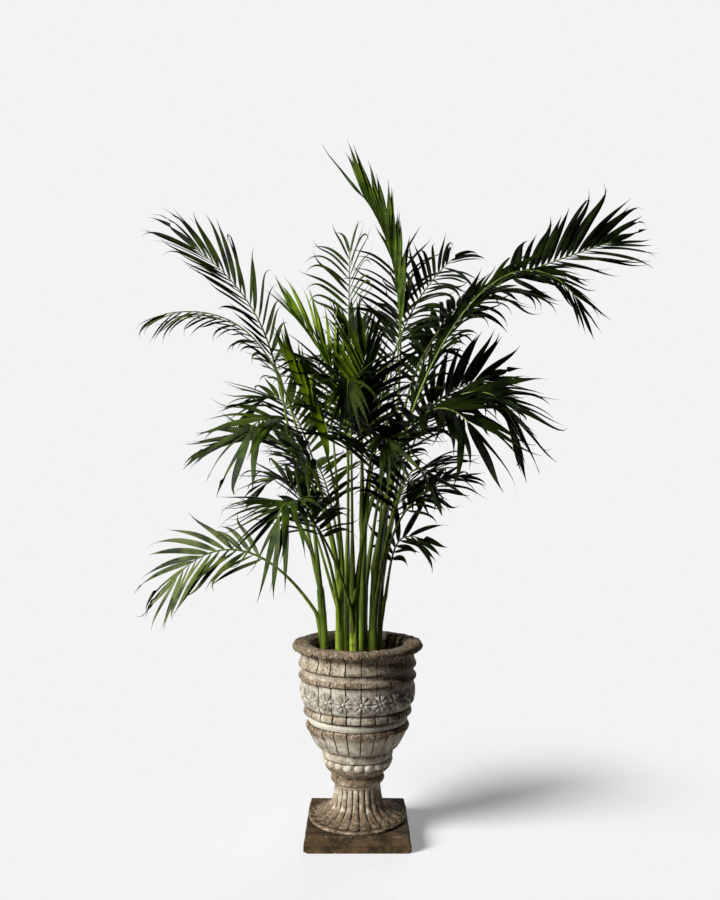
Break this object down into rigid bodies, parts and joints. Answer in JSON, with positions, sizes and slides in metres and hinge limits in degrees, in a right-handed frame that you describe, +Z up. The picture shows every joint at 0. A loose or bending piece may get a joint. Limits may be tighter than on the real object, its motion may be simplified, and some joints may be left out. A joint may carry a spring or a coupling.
{
  "type": "potted cat palm",
  "caption": "Clumping palm with upright green canes and arching feather fronds, planted in a weathered stone urn with a fluted foot on a square plinth.",
  "frame": {"origin": "centre of the plinth's flat underside, on the floor", "axes": "+Z up the plant; -Y faces the camera of the picture; +X to its right"},
  "size_m": [1.5621, 1.1134, 2.0718],
  "materials": {
    "stone": "weathered cast stone, matt, cream to grey-brown",
    "mossy_stone": "dark damp stone with moss and ochre specks, matt",
    "soil": "dark crumbly potting mix with bark",
    "cane_green": "smooth green sheathed stems with a soft sheen",
    "leaf_green": "thin leathery leaves, dark green with a soft sheen"
  },
  "bodies": {
    "root": {"cane_a": "cane_green", "cane_b": "cane_green", "cane_c": "cane_green", "cane_d": "cane_green", "cane_e": "cane_green", "cane_f": "cane_green", "cane_g": "cane_green", "cane_h": "cane_green", "cane_i": "cane_green", "cane_j": "cane_green", "frond_crest": "leaf_green", "frond_far_left": "leaf_green", "frond_far_low": "leaf_green", "frond_far_low_left": "leaf_green", "frond_far_low_right": "leaf_green", "frond_far_mid": "leaf_green", "frond_far_right": "leaf_green", "frond_far_wide_left": "leaf_green", "frond_far_wide_right": "leaf_green", "frond_left_arch": "leaf_green", "frond_left_bright": "leaf_green", "frond_left_fan": "leaf_green", "frond_left_high": "leaf_green", "frond_left_low": "leaf_green", "frond_left_mid": "leaf_green", "frond_left_near": "leaf_green", "frond_left_upright": "leaf_green", "frond_mid_back": "leaf_green", "frond_mid_dark": "leaf_green", "frond_mid_tall": "leaf_green", "frond_near_left": "leaf_green", "frond_near_mid": "leaf_green", "frond_near_right": "leaf_green", "frond_near_top": "leaf_green", "frond_right_arm": "leaf_green", "frond_right_back": "leaf_green", "frond_right_bright": "leaf_green", "frond_right_droop": "leaf_green", "frond_right_foot": "leaf_green", "frond_right_hang": "leaf_green", "frond_right_high": "leaf_green", "frond_right_low": "leaf_green", "frond_right_mid": "leaf_green", "frond_right_near": "leaf_green", "soil": "soil", "urn_bowl": "stone", "urn_foot": "stone", "urn_plinth": "mossy_stone"}
  },
  "joints": []
}
